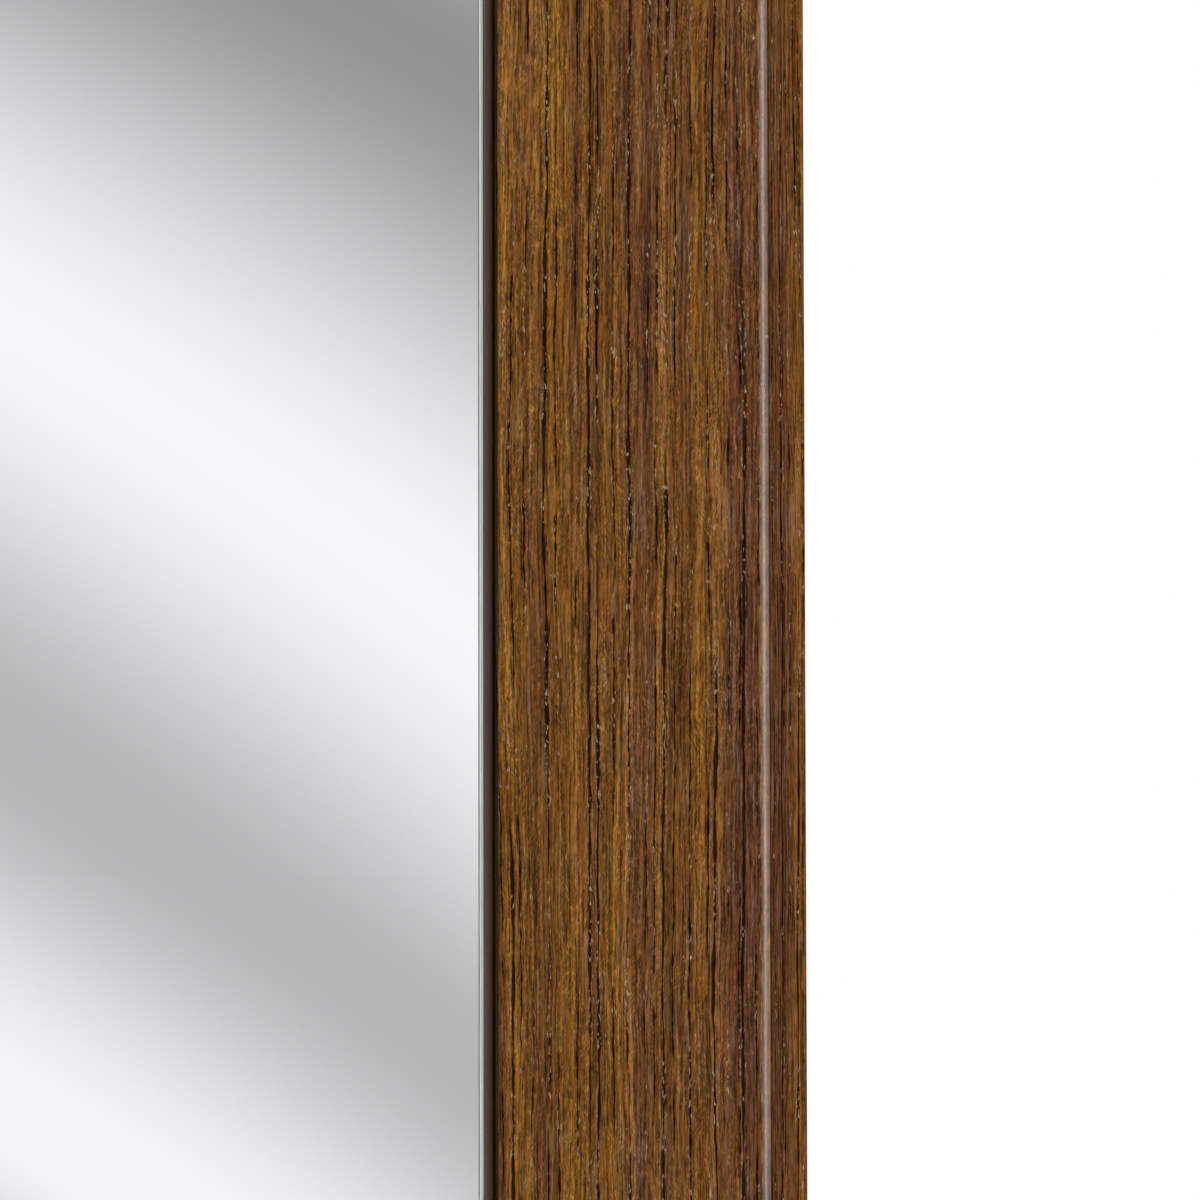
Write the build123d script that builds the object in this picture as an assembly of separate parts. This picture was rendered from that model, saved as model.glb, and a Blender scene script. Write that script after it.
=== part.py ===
from build123d import *
from math import asin, cos, degrees, radians, sin, sqrt
import os

# A rectangular wall mirror. Four mitred oak members with a stepped section hold a panel that carries
# the pane, so the pane stands inside the frame with a narrow open gap all round it.
# Millimetres. X runs to the right and Z up, the pane faces -Y, and the origin is the centre of the
# frame's bottom face.

# Frame
frame_width = 600.0
frame_height = 800.0
frame_depth = 22.0
face_width = 40.0  # the part of each member that shows from the front
ledge_width = 12.0  # the step that reaches inwards behind the panel
ledge_thickness = 7.0
outer_front_ease = 0.85  # the flat that is planed off the outer front edge, along each face
outer_front_round = 0.5  # and the rounding on both sides of that flat
outer_back_round = 1.0
inner_front_round = 0.7
ledge_round = 0.5

# Pane and panel, from the front towards the wall
pane_recess = 1.0
pane_thickness = 5.0
pane_gap = 2.0  # open gap between the pane and the frame
pane_edge_chamfer = 0.4
film_thickness = 0.2
film_inset = 1.5
tape_thickness = 0.8
tape_width = 25.0
tape_end_inset = 30.0
tape_count = 5
panel_thickness = frame_depth - pane_recess - pane_thickness - film_thickness - tape_thickness - ledge_thickness
panel_gap = 3.0
spacer_length = 30.0

# Corner joints: one biscuit inside each mitre and two wedge nails from behind
biscuit_length = 47.0
biscuit_width = 15.0
biscuit_thickness = 4.0
biscuit_slot_play = 0.15
biscuit_front_cover = 8.0
nail_leg = 6.5
nail_opening_deg = 96.0
nail_places = (0.2, 0.68)  # as shares of the mitre across the face
nail_sheet = 0.8
nail_height = 7.5
nail_sink = 0.3

# Screws
screw_point_length = 3.0
pilot_play = 0.05
panel_screw_shank = 3.5
panel_screw_head = 7.0
panel_screw_length = 14.0
panel_screws_per_stile = 4
panel_screws_per_rail = 3
screw_end_margin = 70.0  # from the ledge's corner to the first screw
hanger_screw_shank = 4.0
hanger_screw_head = 7.6
hanger_screw_head_height = 2.4
hanger_screw_length = 16.0
screw_hole_play = 0.25  # radial play of a panel screw in the ledge
recess_width = 0.9

# Strap hangers with swinging rings
ring_wire = 2.5
ring_play = 0.05  # radial play of the ring's bar in its loop
ring_width = 22.0  # to the wire's centre line
ring_corner = 3.0
ring_leg = 2.0
strap_sheet = 1.0
strap_fold_gap = 0.1
strap_width = 14.0
strap_length = 42.0
strap_holes = (9.0, 32.0)  # below the ring's bar
strap_hole = 4.4
hanger_drop = 150.0  # from the frame's top to the ring's bar
ring_rest_play = 0.3  # between the leaning ring and the frame

# Bumpers
bumper_base = 12.7
bumper_top = 7.0
bumper_margin = 20.0

# Sizes that follow from the ones above
front = -frame_depth / 2
back = frame_depth / 2
member_width = face_width + ledge_width
opening_width = frame_width - 2 * face_width
opening_height = frame_height - 2 * face_width
pane_front = front + pane_recess
pane_back = pane_front + pane_thickness
film_back = pane_back + film_thickness
panel_front = film_back + tape_thickness
panel_back = panel_front + panel_thickness
pane_width = opening_width - 2 * pane_gap
pane_height = opening_height - 2 * pane_gap
panel_width = opening_width - 2 * panel_gap
panel_height = opening_height - 2 * panel_gap
frame_middle = frame_height / 2
hanger_x = frame_width / 2 - face_width / 2
hanger_z = frame_height - hanger_drop
loop_bore = ring_wire / 2 + ring_play
loop_radius = loop_bore + strap_sheet
standoff = 2 * loop_radius  # the hangers and the bumpers hold the frame this far off the wall
ring_y = back + loop_radius
ring_bow = ring_width / 2
ring_height = ring_corner + ring_leg + ring_bow
ring_lean = degrees(asin((loop_radius - ring_wire / 2 - ring_rest_play) / ring_height))


def block(width, y_from, y_to, height, x=0.0, z=0.0):
    """A plain block between two depths, centred on x and z."""
    return Pos(x, (y_from + y_to) / 2, z) * Box(width, y_to - y_from, height)


def side_places():
    """Where each member goes. A member is made lying along the bottom, with its inner side up."""
    return {
        "frame_rail_bottom": (frame_width, Pos(0, 0, 0)),
        "frame_stile_right": (frame_height, Pos(frame_width / 2, 0, frame_middle) * Rot(0, -90, 0)),
        "frame_rail_top": (frame_width, Pos(0, 0, frame_height) * Rot(0, 180, 0)),
        "frame_stile_left": (frame_height, Pos(-frame_width / 2, 0, frame_middle) * Rot(0, 90, 0)),
    }


def corner_places():
    """Where each corner joint goes. Local X runs inwards along the mitre from the outer corner."""
    right, top = frame_width / 2, frame_height
    return {
        "bottom_right": Pos(right, 0, 0) * Rot(0, -135, 0),
        "bottom_left": Pos(-right, 0, 0) * Rot(0, -45, 0),
        "top_left": Pos(-right, 0, top) * Rot(0, 45, 0),
        "top_right": Pos(right, 0, top) * Rot(0, 135, 0),
    }


def member(length):
    """A frame member: the stepped section, swept straight and mitred at both ends."""
    section = [
        ((front + outer_front_ease, 0), outer_front_round),
        ((back, 0), outer_back_round),
        ((back, member_width), ledge_round),
        ((back - ledge_thickness, member_width), ledge_round),
        ((back - ledge_thickness, face_width), 0),
        ((front, face_width), inner_front_round),
        ((front, outer_front_ease), outer_front_round),
    ]
    points = [point for point, _ in section]
    rounds = [radius for _, radius in section]
    outline = make_face(FilletPolyline(*points, radius=rounds, close=True))
    bar = extrude(Plane.YZ * outline, length / 2, both=True)
    half = length / 2
    mitred = make_face(
        Polyline(
            (-half, 0),
            (half, 0),
            (half - member_width, member_width),
            (member_width - half, member_width),
            close=True,
        )
    )
    return bar & extrude(Plane.XZ * mitred, frame_depth, both=True)


def biscuit(play=0.0):
    """An oval wooden biscuit across a mitre, or with some play the slot that it is glued into."""
    width, length = biscuit_width + 2 * play, biscuit_length + 2 * play
    oval_half_length = length / 2 + 2.5
    radius = (oval_half_length**2 + (width / 2) ** 2) / width
    offset = radius - width / 2
    lens = (Pos(0, offset) * Circle(radius)) & (Pos(0, -offset) * Circle(radius)) & Rectangle(length, width)
    plate = extrude(Plane.XZ * lens, biscuit_thickness / 2 + play, both=True)
    depth = front + biscuit_front_cover + biscuit_thickness / 2
    return Pos(face_width / sqrt(2), depth, 0) * plate


def wedge_nail(along, is_slot=False):
    """A V-shaped sheet nail that straddles the mitre, driven in from the back of the frame."""
    half_opening = radians(nail_opening_deg / 2)
    reach, spread = nail_leg * cos(half_opening), nail_leg * sin(half_opening)
    line = Polyline((along + reach, spread), (along, 0), (along + reach, -spread))
    outline = Plane.XZ * trace(line, nail_sheet)
    sink = 0.0 if is_slot else nail_sink
    depth = nail_height + nail_sink - sink
    return Pos(0, back - sink, 0) * extrude(outline, depth, dir=(0, -1, 0))


def wedge_nails(is_slot=False):
    """The two nails of one corner, on either side of the biscuit's middle."""
    mitre_length = face_width * sqrt(2)
    return [wedge_nail(mitre_length * share, is_slot) for share in nail_places]


def cross_recess(top, reach, depth):
    """A driver recess of two crossed wings that narrow towards a blunt point."""
    point = recess_width / 2
    wing = make_face(Polyline((-reach, top), (reach, top), (point, top - depth), (-point, top - depth), close=True))
    blade = extrude(wing, recess_width / 2, both=True)
    return blade + Rot(0, 90, 0) * blade


def wood_screw(shank, length, head_outline, top, recess_depth):
    """A cross-recess wood screw along -Y. Its head's seat begins at the origin."""
    radius = shank / 2
    stem = Polyline((0, top), (0, -length), (radius, screw_point_length - length), head_outline @ 0)
    cap = Line(head_outline @ 1, (0, top))
    body = revolve(make_face(stem + head_outline + cap), Axis.Y)
    reach = 0.62 * (head_outline @ 1).X if top else 0.6 * panel_screw_head / 2
    return body - cross_recess(top, reach, recess_depth)


def countersunk_screw():
    """The screw that holds the panel: a flat head that sinks flush into the ledge."""
    radius, head_radius = panel_screw_shank / 2, panel_screw_head / 2
    cone = Line((radius, radius - head_radius), (head_radius, 0))
    return wood_screw(panel_screw_shank, panel_screw_length, cone, 0, recess_depth=2.2)


def pan_head_screw():
    """The screw that holds a strap: a domed head on a flat seat."""
    radius, head_radius, rise = hanger_screw_shank / 2, hanger_screw_head / 2, hanger_screw_head_height
    seat = Polyline((radius, 0), (head_radius, 0), (head_radius, rise * 0.35))
    dome = ThreePointArc((head_radius, rise * 0.35), (head_radius * 0.84, rise * 0.82), (head_radius * 0.45, rise))
    return wood_screw(hanger_screw_shank, hanger_screw_length, seat + dome, rise, recess_depth=2.0)


def pilot(shank, length):
    """The pointed hole that a screw fills, along -Y from the origin."""
    radius = shank / 2 + pilot_play
    straight = length - screw_point_length
    half = make_face(Polyline((0, 0), (radius, 0), (radius, -straight), (0, -length - pilot_play), close=True))
    return revolve(half, Axis.Y)


def panel_screw_cut():
    """What a panel screw takes out of the ledge: its countersink and a hole with play."""
    radius = panel_screw_shank / 2 + screw_hole_play
    sink_radius = panel_screw_head / 2 + pilot_play
    depth = sink_radius - radius
    half = make_face(
        Polyline((0, 0), (sink_radius, 0), (radius, -depth), (radius, -ledge_thickness), (0, -ledge_thickness), close=True)
    )
    return revolve(half, Axis.Y)


def panel_screw_places():
    """Where the panel screws enter: along the middle of the ledge on all four sides."""
    ledge_x = opening_width / 2 - ledge_width / 2
    ledge_z = opening_height / 2 - ledge_width / 2
    places = []
    for count, reach, on_stile in (
        (panel_screws_per_stile, ledge_z - screw_end_margin, True),
        (panel_screws_per_rail, ledge_x - screw_end_margin, False),
    ):
        for index in range(count):
            along = -reach + 2 * reach * index / (count - 1)
            for side in (-1, 1):
                x, z = (side * ledge_x, along) if on_stile else (along, side * ledge_z)
                places.append(Pos(x, back, frame_middle + z))
    return places


def hanger_screw_places():
    """Where the hanger screws enter: two through each strap."""
    return [
        Pos(side * hanger_x, back + 2 * strap_sheet + strap_fold_gap, hanger_z - below)
        for side in (-1, 1)
        for below in strap_holes
    ]


def frame_members():
    """The four members, with their biscuit slots, nail slots and screw holes."""
    cuts = []
    for place in corner_places().values():
        cuts += [place * shape for shape in [biscuit(biscuit_slot_play), *wedge_nails(is_slot=True)]]
    cuts += [place * panel_screw_cut() for place in panel_screw_places()]
    cuts += [place * pilot(hanger_screw_shank, hanger_screw_length) for place in hanger_screw_places()]
    members = {}
    for name, (length, place) in side_places().items():
        blank = place * member(length)
        near = [cut for cut in cuts if blank.bounding_box().overlaps(cut.bounding_box())]
        members[name] = blank - near
    return members


def pane():
    """The mirror pane, with a small polished chamfer on every edge."""
    sheet = block(pane_width, pane_front, pane_back, pane_height, z=frame_middle)
    return chamfer(sheet.edges(), pane_edge_chamfer)


def safety_film():
    """The film on the pane's silvered back, trimmed a little short of its edges."""
    width, height = pane_width - 2 * film_inset, pane_height - 2 * film_inset
    return block(width, pane_back, film_back, height, z=frame_middle)


def tape_strips():
    """Upright strips of foam tape that hold the pane to the panel."""
    height = pane_height - 2 * tape_end_inset
    pitch = pane_width / tape_count
    return {
        f"tape_strip_{index + 1}": block(
            tape_width, film_back, panel_front, height, x=pitch * (index - (tape_count - 1) / 2), z=frame_middle
        )
        for index in range(tape_count)
    }


def backing_panel():
    """The panel behind the pane, with pilots for the screws that come through the ledge."""
    board = block(panel_width, panel_front, panel_back, panel_height, z=frame_middle)
    return board - [place * pilot(panel_screw_shank, panel_screw_length) for place in panel_screw_places()]


def panel_spacers():
    """Shims between the panel and the frame, two on each side, that keep the gap even."""
    spacers = {}
    edge_x, edge_z = opening_width / 2 - panel_gap / 2, opening_height / 2 - panel_gap / 2
    for side, side_name in ((-1, "left"), (1, "right")):
        for end, end_name in ((-1, "lower"), (1, "upper")):
            z = frame_middle + end * panel_height / 4
            spacers[f"spacer_{side_name}_{end_name}"] = block(
                panel_gap, panel_front, panel_back, spacer_length, x=side * edge_x, z=z
            )
    for side, side_name in ((-1, "bottom"), (1, "top")):
        for end, end_name in ((-1, "left"), (1, "right")):
            spacers[f"spacer_{side_name}_{end_name}"] = block(
                spacer_length,
                panel_front,
                panel_back,
                panel_gap,
                x=end * panel_width / 4,
                z=frame_middle + side * edge_z,
            )
    return spacers


def strap():
    """A strap folded round the ring's bar, with its two layers flat on the frame. The bar is at Z = 0."""
    thickness = 2 * strap_sheet + strap_fold_gap
    plate = Pos(thickness / 2, -strap_length / 2) * Rectangle(thickness, strap_length)
    loop = Pos(loop_radius, 0) * Circle(loop_radius)
    fold = Pos(thickness / 2, -strap_length / 2) * Rectangle(strap_fold_gap, strap_length)
    bore = Pos(loop_radius, 0) * Circle(loop_bore)
    side = plate + loop - fold - bore
    strip = extrude(Plane.YZ * side, strap_width / 2, both=True)
    end_radius = strap_width / 2
    tall = strap_length - end_radius + loop_radius
    outline = Pos(0, (2 * loop_radius - tall) / 2) * Rectangle(strap_width, tall)
    outline += Pos(0, loop_radius - tall) * Circle(end_radius)
    strip &= extrude(Plane.XZ * outline, 2 * standoff, both=True)
    for below in strap_holes:
        strip -= Pos(0, thickness / 2, -below) * Rot(90, 0, 0) * Cylinder(strap_hole / 2, 3 * thickness)
    return Pos(0, back, 0) * strip


def ring():
    """A D-shaped wire ring, with its bar through the loop and its bow up, leaning on the frame."""
    half, leg_top = ring_width / 2, ring_corner + ring_leg
    ends = ((-half, leg_top), (half, leg_top))
    bar = FilletPolyline(ends[0], (-half, 0), (half, 0), ends[1], radius=ring_corner)
    bow = ThreePointArc(ends[1], (0, ring_height), ends[0])
    path = Plane.XZ * Wire(bar.edges() + bow.edges())
    wire = sweep((path ^ 0) * Circle(ring_wire / 2), path)
    return Pos(0, ring_y, 0) * Rot(ring_lean, 0, 0) * wire


def bumper():
    """A soft domed bumper with a flat top, on the back of the frame."""
    base, top, rise = bumper_base / 2, bumper_top / 2, standoff
    dome = make_face(
        Polyline((0, 0), (base, 0), (base, rise * 0.25))
        + ThreePointArc((base, rise * 0.25), (base - 0.9, rise * 0.74), (top, rise))
        + Polyline((top, rise), (0, rise), (0, 0))
    )
    return Pos(0, back, 0) * revolve(dome, Axis.Y)


def all_nodes():
    """Every node of the mirror, in the frame's own axes."""
    nodes = frame_members()
    for name, place in corner_places().items():
        nodes[f"mitre_biscuit_{name}"] = place * biscuit()
    nodes["v_nails"] = Compound(
        children=[place * nail for place in corner_places().values() for nail in wedge_nails()]
    )
    nodes["mirror_pane"] = pane()
    nodes["safety_film"] = safety_film()
    nodes.update(tape_strips())
    nodes["backing_panel"] = backing_panel()
    nodes.update(panel_spacers())
    sunk, domed = countersunk_screw(), pan_head_screw()
    nodes["panel_screws"] = Compound(children=[place * sunk for place in panel_screw_places()])
    nodes["hanger_screws"] = Compound(children=[place * domed for place in hanger_screw_places()])
    for side, name in ((-1, "left"), (1, "right")):
        at_hanger = Pos(side * hanger_x, 0, hanger_z)
        nodes[f"hanger_strap_{name}"] = at_hanger * strap()
        nodes[f"hanger_ring_{name}"] = at_hanger * ring()
        nodes[f"wall_bumper_{name}"] = Pos(side * hanger_x, 0, bumper_margin) * bumper()
    return nodes


os.makedirs("parts", exist_ok=True)
for node_name, shape in all_nodes().items():
    export_step(shape, os.path.join("parts", node_name + ".step"))
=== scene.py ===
import math

import bmesh
import bpy
from mathutils import Matrix, Vector, noise


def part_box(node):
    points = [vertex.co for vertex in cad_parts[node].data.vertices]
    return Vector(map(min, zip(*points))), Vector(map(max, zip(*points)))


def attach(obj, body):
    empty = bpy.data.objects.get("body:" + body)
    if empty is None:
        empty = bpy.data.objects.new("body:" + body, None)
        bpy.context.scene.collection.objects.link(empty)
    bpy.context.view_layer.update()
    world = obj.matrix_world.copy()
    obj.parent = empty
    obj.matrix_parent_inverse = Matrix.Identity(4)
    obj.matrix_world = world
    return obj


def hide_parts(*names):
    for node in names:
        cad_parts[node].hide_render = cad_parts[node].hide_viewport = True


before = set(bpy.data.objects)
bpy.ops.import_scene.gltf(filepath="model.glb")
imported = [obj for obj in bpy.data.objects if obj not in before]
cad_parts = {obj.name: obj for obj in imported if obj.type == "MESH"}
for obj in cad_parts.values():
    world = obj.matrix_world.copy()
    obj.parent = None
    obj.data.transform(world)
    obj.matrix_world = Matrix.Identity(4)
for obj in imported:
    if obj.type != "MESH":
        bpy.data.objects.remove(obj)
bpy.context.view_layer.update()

print("frame loaded:", len(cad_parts), "nodes")

mm = 0.001


def seen(red, green, blue):
    # a colour as it looks on screen (0 to 255), turned into the linear colour that shaders take
    def lin(value):
        value /= 255
        return value / 12.92 if value <= 0.04045 else ((value + 0.055) / 1.055) ** 2.4
    return (lin(red), lin(green), lin(blue), 1.0)


def grey(value):
    return (value, value, value, 1.0)


# ways to wire up nodes

def feed(tree, socket, value):
    if isinstance(value, bpy.types.NodeSocket):
        tree.links.new(value, socket)
    else:
        socket.default_value = value


def calc(tree, operation, *values, clamp=False):
    node = tree.nodes.new("ShaderNodeMath")
    node.operation = operation
    node.use_clamp = clamp
    for index, value in enumerate(values):
        feed(tree, node.inputs[index], value)
    return node.outputs[0]


def spread(tree, value, low, high, bottom=0.0, top=1.0, smooth=True):
    # takes low to bottom and high to top, with soft ends or evenly
    node = tree.nodes.new("ShaderNodeMapRange")
    node.interpolation_type = "SMOOTHSTEP" if smooth else "LINEAR"
    names = ("Value", "From Min", "From Max", "To Min", "To Max")
    for name, item in zip(names, (value, low, high, bottom, top)):
        feed(tree, node.inputs[name], item)
    return node.outputs["Result"]


def evenly(tree, value, low, high, bottom=0.0, top=1.0):
    return spread(tree, value, low, high, bottom, top, smooth=False)


def times(tree, value, other):
    return calc(tree, "MULTIPLY", value, other)


def minus(tree, value, other):
    return calc(tree, "SUBTRACT", value, other)


def blendColor(tree, share, first, second, how="MIX"):
    node = tree.nodes.new("ShaderNodeMix")
    node.data_type = "RGBA"
    node.blend_type = how
    feed(tree, node.inputs["Factor"], share)
    for socket, value in zip([s for s in node.inputs if s.type == "RGBA"], (first, second)):
        feed(tree, socket, value)
    return [s for s in node.outputs if s.type == "RGBA"][0]


def stretched(tree, position, size, shift=(0.0, 0.0, 0.0)):
    node = tree.nodes.new("ShaderNodeVectorMath")
    node.operation = "MULTIPLY_ADD"
    feed(tree, node.inputs[0], position)
    node.inputs[1].default_value = tuple(1 / step for step in size)
    feed(tree, node.inputs[2], shift)
    return node.outputs[0]


def grainNoise(tree, position, size, detail=2.0, rough=0.5, shift=(0.0, 0.0, 0.0)):
    # size is how far one blob of the noise reaches along, across and in depth
    node = tree.nodes.new("ShaderNodeTexNoise")
    feed(tree, node.inputs["Vector"], stretched(tree, position, size, shift))
    node.inputs["Scale"].default_value = 1.0
    node.inputs["Detail"].default_value = detail
    node.inputs["Roughness"].default_value = rough
    return node.outputs["Fac"]


def colorSteps(tree, value, steps, ease="B_SPLINE"):
    node = tree.nodes.new("ShaderNodeValToRGB")
    feed(tree, node.inputs["Fac"], value)
    ramp = node.color_ramp
    ramp.interpolation = ease
    while len(ramp.elements) < len(steps):
        ramp.elements.new(0.5)
    for element, (place, color) in zip(ramp.elements, steps):
        element.position = place
        element.color = color
    return node.outputs["Color"]


def newGroup(name, takes, gives):
    group = bpy.data.node_groups.new(name, "ShaderNodeTree")
    for label, kind, value in takes:
        socket = group.interface.new_socket(label, in_out="INPUT", socket_type=kind)
        if value is not None:
            socket.default_value = value
    for label, kind in gives:
        group.interface.new_socket(label, in_out="OUTPUT", socket_type=kind)
    entry = group.nodes.new("NodeGroupInput")
    leave = group.nodes.new("NodeGroupOutput")
    return group, entry.outputs, leave.inputs


def useGroup(tree, group, **values):
    node = tree.nodes.new("ShaderNodeGroup")
    node.node_tree = group
    for label, value in values.items():
        feed(tree, node.inputs[label.replace("_", " ")], value)
    return node.outputs


def newMaterial(name, metallic=0.0, ior=1.5, specular=0.5):
    material = bpy.data.materials.new(name)
    material.use_nodes = True
    tree = material.node_tree
    surface = tree.nodes["Principled BSDF"]
    surface.inputs["Metallic"].default_value = metallic
    surface.inputs["IOR"].default_value = ior
    surface.inputs["Specular IOR Level"].default_value = specular
    return material, tree, surface


def bumpFrom(tree, surface, height, distance):
    node = tree.nodes.new("ShaderNodeBump")
    node.inputs["Distance"].default_value = distance
    feed(tree, node.inputs["Height"], height)
    tree.links.new(node.outputs["Normal"], surface.inputs["Normal"])


def blendNumber(tree, share, first, second):
    node = tree.nodes.new("ShaderNodeMix")
    node.data_type = "FLOAT"
    for index, value in zip((0, 2, 3), (share, first, second)):
        feed(tree, node.inputs[index], value)
    return node.outputs[0]


def attribute(tree, name):
    node = tree.nodes.new("ShaderNodeAttribute")
    node.attribute_name = name
    return node.outputs


def objectPosition(tree):
    # the place on the object itself, in millimetres
    node = tree.nodes.new("ShaderNodeTexCoord")
    return stretched(tree, node.outputs["Object"], (mm, mm, mm))


# shared effects

def flatNoise(tree, along, across, size, detail=1.0, rough=0.5, seed=0.0):
    # noise over (along, across), both in millimetres; size is how far one blob reaches each way
    joined = tree.nodes.new("ShaderNodeCombineXYZ")
    feed(tree, joined.inputs[0], calc(tree, "MULTIPLY_ADD", along, 1 / size[0], seed))
    feed(tree, joined.inputs[1], calc(tree, "MULTIPLY_ADD", across, 1 / size[1], seed))
    node = tree.nodes.new("ShaderNodeTexNoise")
    node.noise_dimensions = "2D"
    tree.links.new(joined.outputs[0], node.inputs["Vector"])
    node.inputs["Scale"].default_value = 1.0
    node.inputs["Detail"].default_value = detail
    node.inputs["Roughness"].default_value = rough
    return node.outputs["Fac"]


timber = {
    "acrossRings": 0.79,          # how steeply the rings stand in the section
    "depthRings": 0.33,
    # how the rings wander: how far a wave reaches along, across and in depth, its size in mm and its detail
    "waves": [((150, 26, 26), 3.2, 1.0), ((16, 4.5, 4.5), 0.7, 1.0), ((2.2, 0.9, 0.9), 0.30, 2.0)],
    "reach": 34.0,                # mm of rings over which the board's pattern runs
    "vessels": (2.6, 5.8, 11.7, 15.9, 19.5, 20.5, 25.4, 30.0),     # where the widest lines lie
    # where the wood is brown (towards 0) or golden (towards 1)
    "bands": (
        (0.0, 0.15), (6.0, 0.2), (7.4, 0.7), (10.4, 0.65),
        (12.2, 0.2), (16.0, 0.2), (18.0, 0.78), (31.0, 0.72),
    ),
    "bandTone": 0.10,
    # noises: how far a blob reaches along and across in mm, detail, roughness and seed
    "tone": ((300, 1.7), 3.0, 0.8, 3.1),
    "hue": ((13, 0.50), 1.0, 0.9, 17.7),
    "golden": ((120, 3.0), 3.0, 0.7, 9.4),
    "fibre": ((26, 0.44), 2.0, 0.95, 5.5),
    "speck": ((2.6, 0.34), 2.0, 0.8, 23.0),
    "leaning": ((9, 2.6), 1.0, 0.5, 14.0),
    "rough": ((14, 2.2), 2.0, 0.6, 61.0),
    "glintSpots": ((1.2, 0.23), 1.0, 0.6, 41.0),
    "mainChain": ((16, 1.0), 1.0, 0.5, 71.0),
    "secondChain": ((10, 1.0), 1.0, 0.5, 83.0),
    "strokes": ((0.9, 0.21), 1.0, 0.8),
    "strokeLeans": ((0.3, 2.0), (-0.3, 6.0)),       # each with its seed
    "strokeMiddle": 0.37,
    "glintLimit": 0.79,            # how rare the painted glints are, away from the vessels
    "glintsNearVessel": -0.18,     # and how much less rare beside them
}
vesselRows = [
    # half width and length of a stretch in mm, share of the length that shows, seed
    {"half": 0.20, "reach": 100, "shows": (0.42, 0.47), "seed": 3.0},
    {"half": 0.12, "reach": 22, "shows": (0.48, 0.54), "seed": 31.0, "spacing": 1.9},
    {"half": 0.085, "reach": 5.0, "shows": (0.50, 0.58), "seed": 57.0, "spacing": 0.55},
]


def ringTurn(tree, ring):
    # how far through the board's pattern a ring lies, from 0 to 1
    return calc(tree, "FRACT", calc(tree, "DIVIDE", ring, timber["reach"]))


def nearestVessel(tree, ring):
    # the nearest of the widest lines, and how far off it is
    reach, places = timber["reach"], timber["vessels"]
    turned = times(tree, ringTurn(tree, ring), reach)
    starts = [0.0] + [(a + b) / 2 for a, b in zip(places, places[1:])]
    steps = [(start / reach, grey(place / reach)) for start, place in zip(starts, places)]
    nearest = colorSteps(tree, calc(tree, "DIVIDE", turned, reach), steps, "CONSTANT")
    nearest = times(tree, nearest, reach)
    return nearest, calc(tree, "ABSOLUTE", minus(tree, turned, nearest))


def scatteredVessel(tree, ring, row):
    # one line in each row, off the middle by a different amount
    place = calc(tree, "DIVIDE", ring, row["spacing"])
    number = calc(tree, "FLOOR", place)
    chance = tree.nodes.new("ShaderNodeTexWhiteNoise")
    chance.noise_dimensions = "1D"
    feed(tree, chance.inputs["W"], calc(tree, "ADD", number, row["seed"]))
    centre = calc(tree, "MULTIPLY_ADD", chance.outputs["Value"], 0.6, 0.2)
    away = calc(tree, "ABSOLUTE", minus(tree, minus(tree, place, number), centre))
    return number, times(tree, away, row["spacing"])


def vesselRow(tree, along, ring, row, width):
    # a dark line that thins, swells and stops
    number, away = scatteredVessel(tree, ring, row) if "spacing" in row else nearestVessel(tree, ring)
    rowAcross = times(tree, number, 7.31)
    present = flatNoise(tree, along, rowAcross, (row["reach"], 1.0), 1.0, 0.5, row["seed"])
    present = spread(tree, present, *row["shows"])
    swell = flatNoise(tree, along, rowAcross, (row["reach"] / 18 + 0.5, 1.0), 1.0, 0.6, row["seed"] + 9)
    half = times(tree, width, evenly(tree, swell, 0.3, 0.7, 0.3 * row["half"], 1.3 * row["half"]))
    line = spread(tree, away, times(tree, half, 0.5), half, 1.0, 0.0)
    return times(tree, line, present), away, number


def glintChain(tree, along, away, row, name, nearBy, shows):
    # painted glints, pale specks on the pores' walls, gather beside some stretches of a vessel
    chain = spread(tree, flatNoise(tree, along, row, *timber[name]), *shows)
    return times(tree, spread(tree, away, *nearBy, 1.0, 0.0), chain)


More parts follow.
